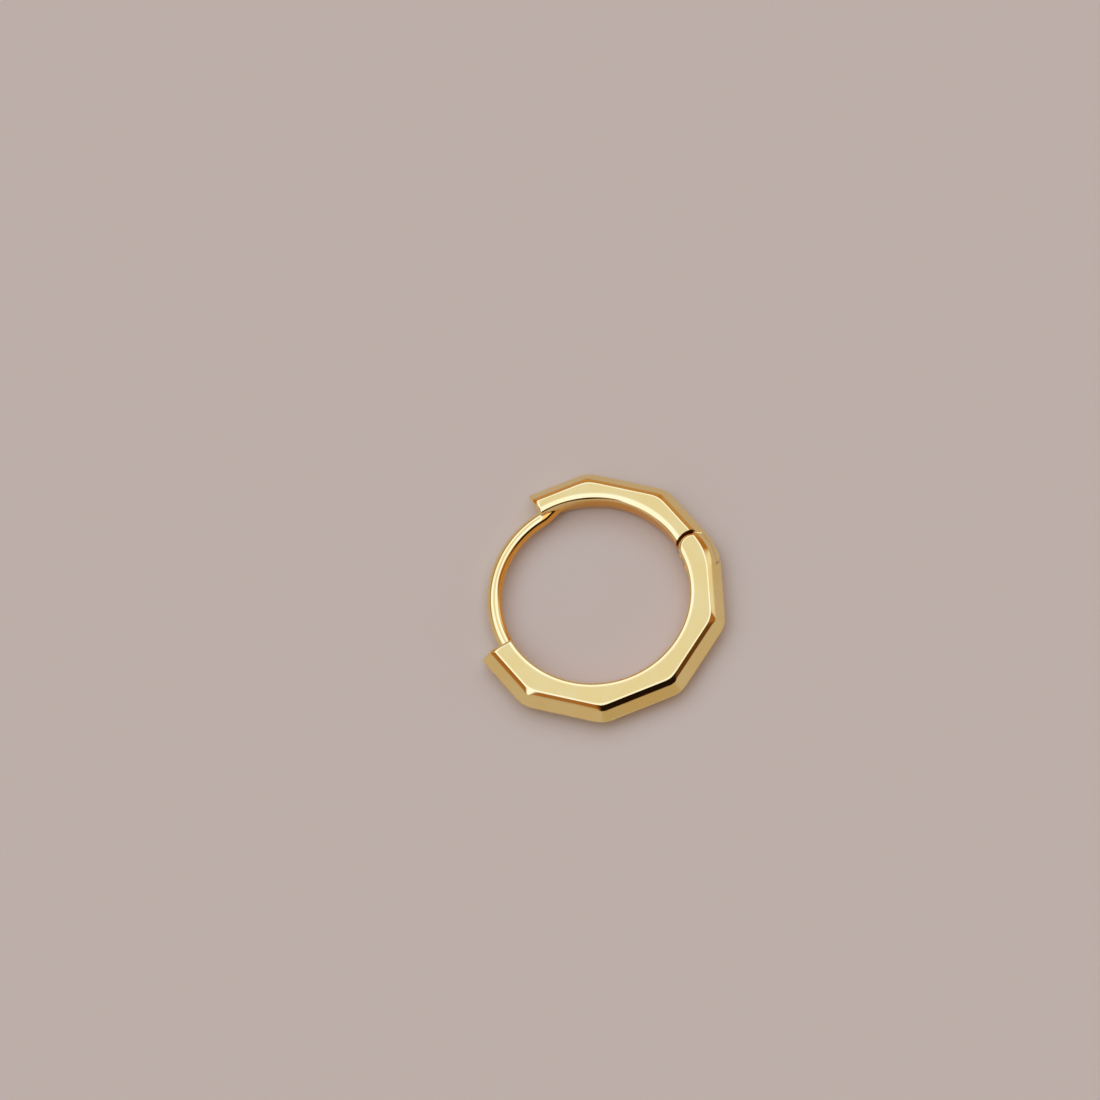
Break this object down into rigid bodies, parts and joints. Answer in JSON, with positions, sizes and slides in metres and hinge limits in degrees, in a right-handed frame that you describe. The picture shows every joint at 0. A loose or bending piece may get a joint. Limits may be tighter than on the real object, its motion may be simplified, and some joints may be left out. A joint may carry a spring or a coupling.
{
  "type": "huggie earring",
  "caption": "Small hinged hoop earring with a faceted outside, a round inside and a bent ear wire that closes into a slot.",
  "frame": {"origin": "middle of the outer box, on the flat face that the earring lies on", "axes": "+Z along the hoop's axis, +Y towards the side that the ear wire bridges, the hinge on the +X, -Y side"},
  "size_m": [0.0138, 0.0132, 0.0015],
  "materials": {
    "polished_gold": "mirror-polished gold plating on silver",
    "pin_metal": "drawn wire, hidden in the hinge"
  },
  "bodies": {
    "front": {"front_hoop": "polished_gold", "hinge_pin": "pin_metal"},
    "back": {"back_arm": "polished_gold"}
  },
  "joints": [
    {"name": "hinge", "type": "hinge", "parent": "front", "child": "back", "pos_m": [0.00368, -0.00399, 0.00075], "axis": [0, 0, -1], "range_deg": [0, 70]}
  ]
}
